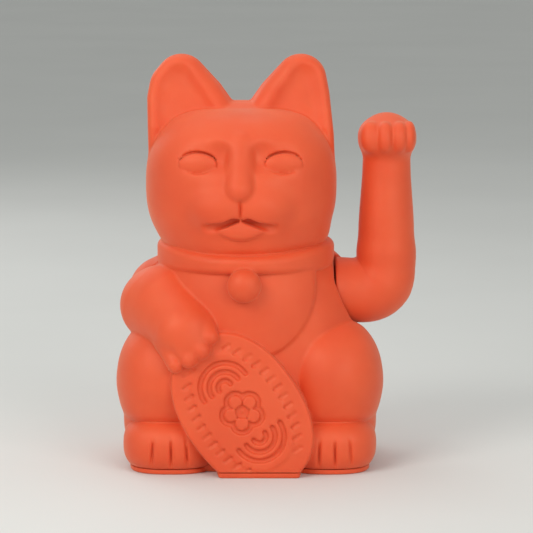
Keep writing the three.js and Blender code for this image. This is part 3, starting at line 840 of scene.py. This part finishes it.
def cell_sleeve(low, high):
    """A shrink sleeve in two colours, split across the battery's length, between bare metal ends."""
    material, tree, shader = new_material("cell_sleeve")
    place = tree.nodes.new("ShaderNodeTexCoord")
    split = tree.nodes.new("ShaderNodeSeparateXYZ")
    tree.links.new(place.outputs["Object"], split.inputs[0])
    share = tree.nodes.new("ShaderNodeMapRange")
    share.inputs["From Min"].default_value = low
    share.inputs["From Max"].default_value = high
    tree.links.new(split.outputs["Y"], share.inputs["Value"])

    def bands(*stops):
        made = tree.nodes.new("ShaderNodeValToRGB")
        made.color_ramp.interpolation = "CONSTANT"
        first, last = made.color_ramp.elements
        first.position, last.position = stops[0][0], stops[-1][0]
        first.color, last.color = (*stops[0][1], 1), (*stops[-1][1], 1)
        for position, colour in stops[1:-1]:
            made.color_ramp.elements.new(position).color = (*colour, 1)
        tree.links.new(share.outputs["Result"], made.inputs["Fac"])
        return made.outputs["Color"]

    bare, dark, copper = (0.62, 0.61, 0.58), (0.035, 0.036, 0.04), (0.55, 0.24, 0.08)
    ends = [(0.0, bare), (0.022, dark), (0.70, copper), (0.955, bare)]
    tree.links.new(bands(*ends), shader.inputs["Base Color"])
    metallic = [(0.0, (1,) * 3), (0.022, (0.1,) * 3), (0.70, (0.8,) * 3), (0.955, (1,) * 3)]
    tree.links.new(bands(*metallic), shader.inputs["Metallic"])
    rough = ramp(tree, noise(tree, 500, 3), (0.24,) * 3, (0.36,) * 3)
    tree.links.new(rough, shader.inputs["Roughness"])
    bump(tree, shader, [(noise(tree, 700, 3), 0.01)])
    return material


# ---------------------------------------------------------------- pieces


def stand_in(piece, node, rides):
    """The piece stands for a CAD node, which it hides, and moves with a body."""
    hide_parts(node)
    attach(piece, rides)


def bounds_of(node):
    """The corners of a CAD node's box, in mm."""
    return [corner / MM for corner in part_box(node)]


def middle_of(node):
    """The middle of a CAD node's box, in mm."""
    low, high = bounds_of(node)
    return (low + high) / 2


BASE_SCREWS = [f"base_screw_{end}_{side}" for end in ("front", "back") for side in ("left", "right")]
TOWER_SCREWS = ["tower_screw_front", "tower_screw_back"]
BOARD_SCREWS = ["board_screw_left", "board_screw_right"]
# The battery's bay and its door, in mm: half widths about the cell, and places along Y and Z.
BAY = {"half": 8, "front": -25, "back": 31, "roof": 18, "wall": 1.2}
DOOR = {"half": 9, "front": -23.5, "tongue": 0.8, "low": 0.75, "high": 1.05}
BEHIND = 60  # Y past the plate's back edge
CLEAR = 0.3  # between pieces that slide, turn or drop in
SHANK_HOLE = 1.55  # radius of the hole for a base screw
AXLE_BORE = 1.8  # radius of a bore for the axle


def plate_outline(inset, count=480):
    """The body's outline at its foot, drawn in by an inset."""
    angles = np.linspace(0, 2 * math.pi, count, endpoint=False)
    rays = np.stack([np.cos(angles), np.sin(angles), np.zeros(count)], axis=-1)
    low, high = np.full(count, 10.0), np.full(count, 60.0)
    for _ in range(20):
        middle = (low + high) / 2
        within = body(rays * middle[:, None] + (0, 0, FOOT + 0.3), fine=False) < -inset
        low, high = np.where(within, middle, low), np.where(within, high, middle)
    return rays * low[:, None]


def plate_solid():
    """The whole base plate, with a rounded edge."""
    profile = [(0.95, 0), (0.6, 0.15), (0.45, 0.45), (0.45, 1.4), (0.55, 1.65), (0.8, PLATE)]
    return from_rows([plate_outline(inset) + (0, 0, z) for inset, z in profile])


def across_cell(half, y0, y1, z0, z1):
    """A box about the battery's middle plane."""
    x = middle_of("battery_cell").x
    return box_solid((x - half, y0, z0), (x + half, y1, z1))


def rod_solid(at, radius, low, high, sides=40):
    """An upright rod through a point, between two heights."""
    return turned([(radius, low), (radius, high)], (at.x, at.y, 0), sides=sides)


def base_plate():
    """The plate with its battery bay, its bosses, and the register that centres the shells."""
    register = [(2.5, 1), (2.5, 4.4), (2.8, 4.6), (3.7, 4.6), (3.7, 1)]
    register = [plate_outline(inset) + (0, 0, z) for inset, z in register]
    wall = BAY["wall"]
    y0, y1, roof = BAY["front"], BAY["back"], BAY["roof"]
    walls = across_cell(BAY["half"] + wall, y0 - wall, y1 + wall, 1, roof + wall)
    steps = [("UNION", from_rows(register, closed=True)), ("UNION", walls)]
    for nodes, radius, top in ((BASE_SCREWS, 4, 4.6), (TOWER_SCREWS, 3, 5), (BOARD_SCREWS, 2, 5)):
        steps += [("UNION", rod_solid(middle_of(node), radius, 1, top)) for node in nodes]
    half, front = DOOR["half"] + CLEAR, DOOR["front"] - CLEAR
    slot_half, slot_low, slot_high = half + DOOR["tongue"], DOOR["low"] - CLEAR, DOOR["high"] + CLEAR
    steps.append(("DIFFERENCE", across_cell(BAY["half"], y0, y1, -1, roof)))
    steps.append(("DIFFERENCE", across_cell(half, front, BEHIND, -1, PLATE + CLEAR)))
    steps.append(("DIFFERENCE", across_cell(slot_half, front, BEHIND, slot_low, slot_high)))
    for node in BASE_SCREWS:
        at = middle_of(node)
        steps.append(("DIFFERENCE", rod_solid(at, SHANK_HOLE, -1, 6)))
        bore = turned([(3.3, -1), (3.3, 0), (2.8, 0.4), (2.8, 2.6)], (at.x, at.y, 0), sides=48)
        steps.append(("DIFFERENCE", bore))
    return combined(plate_solid(), steps)


def battery_door():
    """A panel that slides out at the back on two tongues, with grips for a thumb."""
    half, front = DOOR["half"], DOOR["front"]
    panel = combined(plate_solid(), [("INTERSECT", across_cell(half, front, BEHIND, -1, 5))])
    tongues = across_cell(half + DOOR["tongue"], front, BAY["back"] - 1, DOOR["low"], DOOR["high"])
    x = middle_of("battery_cell").x
    rods = [turned([(0.55, -5), (0.55, 5)], (x, 24 + 2.2 * i, -0.05), "x", 24) for i in range(3)]
    grips = [("DIFFERENCE", rod) for rod in rods]
    recess = across_cell(5.8, 22, 30.4, -1, 0.25)
    return combined(panel, [("UNION", tongues), ("DIFFERENCE", recess), *grips])


def make_base(material):
    """The plate under the cat, and the door in it."""
    plate = finished(base_plate(), "base_plate_moulding", material, 18)
    stand_in(plate, "base_plate", "housing")
    door = finished(battery_door(), "battery_door_moulding", material, 18)
    stand_in(door, "battery_door", "door")


def screw(node, head_height, down, material):
    """A pan-head screw with a cross recess and a rolled thread, pointing up, or down."""
    low, high = bounds_of(node)
    x, y = (low.x + high.x) / 2, (low.y + high.y) / 2
    head, total = (high.x - low.x) / 2, high.z - low.z
    core, crest = head * 0.36, head * 0.14
    pitch = head * 0.36
    angles = np.linspace(0, 2 * math.pi, 40, endpoint=False)
    ring = np.stack([np.cos(angles), np.sin(angles), np.zeros(40)], axis=-1)
    profile = [(0.62, 0), (0.86, 0.06), (0.97, 0.2), (1, 0.42), (1, head_height / head)]
    profile = [(head * r, head * z) for r, z in profile] + [(core + crest, head_height)]
    rows = [ring * radius + (0, 0, z) for radius, z in profile]
    for z in np.arange(head_height + 0.1, total - 0.1, pitch / 8):
        phase = (z / pitch - angles / (2 * math.pi)) % 1
        taper = np.clip((total - z) / (head * 0.7), 0.15, 1)
        radius = (core + crest * np.clip(1 - np.abs(phase - 0.5) * 4, 0, 1)) * taper
        rows.append(ring * radius[:, None] + (0, 0, z))
    rows.append(ring * core * 0.1 + (0, 0, total))
    arm, width = head * 0.55, head * 0.13
    cross = [box_solid((-a, -b, -1), (a, b, head * 0.5)) for a, b in ((arm, width), (width, arm))]
    made = combined(from_rows(rows), [("DIFFERENCE", tool) for tool in cross])
    turn = Matrix.Rotation(math.pi if down else 0, 4, "X")
    made.transform(Matrix.Translation(Vector((x, y, high.z if down else low.z)) * MM) @ turn)
    stand_in(finished(made, node + "_turned", material), node, "housing")


def battery(node):
    """A cell in its sleeve: a crimped flat end to the front and a nipple at the back."""
    low, high = bounds_of(node)
    radius, length = (high.x - low.x) / 2, high.y - low.y
    rim = [(1.6, 0.25), (1.3, 0), (0.7, 0), (0.15, 0.25), (0, 0.7)]
    end = length - 1.0
    crimp = [(0, 0.9), (0.12, 0.4), (0.5, 0.1), (1.0, 0), (1.5, 0.35)]
    profile = [(radius - r, y) for r, y in rim] + [(radius - r, end - y) for r, y in crimp]
    profile += [(2.9, end - 0.35), (2.75, end), (2.7, length - 0.3), (2.4, length)]
    made = turned(profile, (middle_of(node).x, low.y, middle_of(node).z), "y", 72)
    material = cell_sleeve(low.y * MM, high.y * MM)
    stand_in(finished(made, "battery_cell_sleeved", material), node, "housing")


def swept(points, radius, sides=16):
    """A round wire along points in mm."""
    points = np.array(points)
    along = np.gradient(points, axis=0)
    along /= np.linalg.norm(along, axis=1)[:, None]
    angles = np.linspace(0, 2 * math.pi, sides, endpoint=False)
    across = np.cross(along[0], (0.3, 0.2, 1))
    rows = []
    for point, direction in zip(points, along):
        across = across - direction * (across @ direction)
        across /= np.linalg.norm(across)
        up = np.cross(direction, across)
        rows.append([point + radius * (across * math.cos(a) + up * math.sin(a)) for a in angles])
    return from_rows(rows)


def contact_spring(node, material):
    """A conical spring on a dished leaf, pressed against the battery's flat end."""
    low, high = bounds_of(node)
    centre = middle_of(node)
    leaf = 0.8
    t = np.linspace(0, 1, 240)
    angle, radius = 2 * math.pi * 3.5 * t, 5 - 2.4 * t
    rise = low.y + leaf + (high.y - low.y - leaf - 0.45) * np.clip(t * 1.15 - 0.06, 0, 1)
    x, z = centre.x + radius * np.cos(angle), centre.z + radius * np.sin(angle)
    coil = swept(np.stack([x, rise, z], axis=-1), 0.42)
    plate = box_solid((low.x, low.y, low.z), (high.x, low.y + leaf, high.z))
    made = combined(plate, [("UNION", coil)])
    stand_in(finished(made, "battery_spring_wound", material), node, "housing")


def winding(node, material):
    """Enamelled wire wound in even layers: every turn of the outer layer shows."""
    low, high = bounds_of(node)
    centre, radius, turns = middle_of(node), (high.x - low.x) / 2, 22
    rise = (high.z - low.z) / turns
    outside = []
    for i in range(turns):
        base = low.z + i * rise
        outside += [(radius - 0.18, base + 0.02), (radius - 0.03, base + rise * 0.25)]
        outside += [(radius, base + rise * 0.5), (radius - 0.03, base + rise * 0.75)]
    profile = [(3.3, low.z), *outside, (radius - 0.18, high.z), (3.3, high.z)]
    made = turned(profile, (centre.x, centre.y, 0), sides=72, closed=True)
    stand_in(finished(made, "coil_winding_wound", material, 60), node, "housing")


def axle_bore(at, start, end):
    """The cut for the axle, along X."""
    return ("DIFFERENCE", turned([(AXLE_BORE, start), (AXLE_BORE, end)], at, "x", 40))


def pendulum_lever(material):
    """A hub on the axle, a flat stem, and a cup that carries the weight and the magnet."""
    (_, _, foot), _ = bounds_of("pendulum_lever")
    centre = middle_of("pendulum_lever")
    roof = bounds_of("counterweight")[1].z + CLEAR
    pocket = bounds_of("drive_magnet")[1].x - centre.x + CLEAR
    at = (centre.x, 0, PIVOT)
    hub = turned([(4.1, -8), (4.5, -7.6), (4.5, 7.6), (4.1, 8)], at, "x")
    stem = box_solid((centre.x - 2.5, -2, roof + 0.5), (centre.x + 2.5, 2, PIVOT))
    cup = turned([(8.2, foot), (8.5, foot + 0.3), (8.5, roof + 1.4), (7.9, roof + 2)], (centre.x, 0, 0))
    hole = turned([(pocket, foot - 1), (pocket, roof)], (centre.x, 0, 0))
    steps = [("UNION", stem), ("UNION", cup), ("DIFFERENCE", hole), axle_bore(at, -9, 9)]
    lever = finished(combined(hub, steps), "lever_moulding", material)
    stand_in(lever, "pendulum_lever", "waving_arm")


def arm_hub(material):
    """A flange and a boss inside the arm, bored for the axle."""
    low, high = bounds_of("arm_hub")
    radius = (high.z - low.z) / 2
    at = (low.x, 0, PIVOT)
    flange = turned([(radius - 0.3, 0), (radius, 0.3), (radius, 1.7), (radius - 0.3, 2)], at, "x", 80)
    boss = turned([(4, 1), (4, 11.5), (3.5, 12)], at, "x", 48)
    bore = axle_bore(at, -1, bounds_of("axle")[1].x + CLEAR - low.x)
    made = combined(flange, [("UNION", boss), bore])
    stand_in(finished(made, "arm_hub_moulding", material), "arm_hub", "waving_arm")


def bobbin(material):
    """A spool with a spigot below it."""
    low, high = bounds_of("coil_bobbin")
    rim, height = (high.x - low.x) / 2, high.z - low.z
    lower = [(2.6, 0), (2.6, 2), (rim - 0.2, 2), (rim, 2.2), (rim, 2.8), (rim - 0.2, 3)]
    upper = [(rim - 0.2, height - 1), (rim, height - 0.8), (rim, height - 0.2), (rim - 0.2, height)]
    centre = middle_of("coil_bobbin")
    made = turned([*lower, (3, 3), (3, height - 1), *upper], (centre.x, centre.y, low.z), "z", 72)
    stand_in(finished(made, "coil_bobbin_moulding", material), "coil_bobbin", "housing")


def make_inside():
    """Materials for the CAD nodes inside the cat, and finer pieces for those that a pose shows."""
    steel = metal("steel", (0.42, 0.43, 0.45), (0.60, 0.61, 0.63), 0.32)
    nickel = metal("nickel", (0.60, 0.58, 0.53), (0.72, 0.70, 0.65), 0.24)
    copper = metal("copper", (0.62, 0.20, 0.07), (0.78, 0.32, 0.13), 0.34)
    # Painted shade: the axle's steel is made near black, so that where the axle shows in the gap at the
    # shoulder it reads as shade.
    axle_shade_steel = metal("axle_painted_shade", (0.05, 0.05, 0.055), (0.10, 0.10, 0.11), 0.42)
    ivory = plain_plastic("inner_plastic", (0.74, 0.69, 0.57), (0.80, 0.76, 0.65))
    black = plain_plastic("component_black", (0.010, 0.010, 0.012), (0.022, 0.022, 0.025), 0.4)
    laminate = plain_plastic("laminate", (0.022, 0.12, 0.035), (0.035, 0.17, 0.05), 0.35)
    red = plain_plastic("red_insulation", (0.42, 0.018, 0.012), (0.52, 0.03, 0.02), 0.4)
    dark = plain_plastic("black_insulation", (0.012, 0.012, 0.013), (0.03, 0.03, 0.03), 0.4)
    finishes = {
        ivory: ("bearing_tower",),
        steel: ("axle_clip", "counterweight"),
        # The axle takes the near-black steel, which is painted shade for the gap at the shoulder.
        axle_shade_steel: ("axle",),
        nickel: ("drive_magnet", "battery_contact"),
        copper: ("wire_coil_start", "wire_coil_end"),
        black: ("capacitor", "transistor", "driver_chip"),
        laminate: ("circuit_board",),
        red: ("wire_battery_red",),
        dark: ("wire_battery_black",),
    }
    for material, nodes in finishes.items():
        for node in nodes:
            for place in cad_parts[node].material_slots:
                place.material = material
    for node in BASE_SCREWS:
        screw(node, head_height=1.8, down=False, material=steel)
    for node in TOWER_SCREWS:
        screw(node, head_height=1.8, down=True, material=steel)
    for node in BOARD_SCREWS:
        screw(node, head_height=1.0, down=True, material=steel)
    pendulum_lever(ivory)
    arm_hub(ivory)
    bobbin(ivory)
    battery("battery_cell")
    contact_spring("battery_spring", nickel)
    winding("coil_winding", copper)


MARGIN = 3  # mm round a shell's box, for the cells that its mesh is made in
BODY_RIGHT = 52  # X past the right haunch


def inside_of(field, wall, floor=None):
    """The cavity behind a wall, kept clear of the surface's carved lines."""

    def hollow(p):
        return np.maximum(field(p, fine=False) + wall, field(p) + 0.6 * wall)

    return hollow if floor is None else closed_below(hollow, floor)


def make_body(material):
    """The body's halves. Their fields end a little below the foot, and the cut trims them to it."""
    outer = closed_below(lambda p: body(p) + seam(p), 0.4)
    inner = inside_of(body, WALL, 0.9)
    low, high = bounds_of("front_shell")[0], bounds_of("rear_shell")[1]
    across, upward = (low.x - MARGIN, BODY_RIGHT), (0, high.z + MARGIN)
    steps = np.array([0.58, 1.5]) * COARSE
    halves = (
        ("front_shell", True, (low.y - MARGIN, 1.2), steps),
        ("rear_shell", False, (-1.2, high.y + MARGIN), steps * 1.5),
    )
    for node, front, depth, mesh_steps in halves:
        box = (across, depth, upward)
        shell = half_shell(node + "_moulding", outer, inner, box, mesh_steps, front, FOOT, material)
        stand_in(shell, node, "housing")


def make_arm(material):
    """The raised arm's halves."""

    def outer(p):
        return waving_arm(p) + seam(p)

    inner = inside_of(waving_arm, ARM_WALL)
    steps = np.array([0.5, 1.2]) * COARSE
    halves = (("arm_front_half", True, (-17, 1.2)), ("arm_rear_half", False, (-1.2, 15)))
    for node, front, depth in halves:
        box = ((30, 64), depth, (47, 130))
        half = half_shell(node + "_moulding", outer, inner, box, steps, front, None, material)
        stand_in(half, node, "waving_arm")


make_camera()
make_studio()
coral = coral_plastic()
make_body(coral)
make_arm(coral)
make_base(coral)
make_inside()
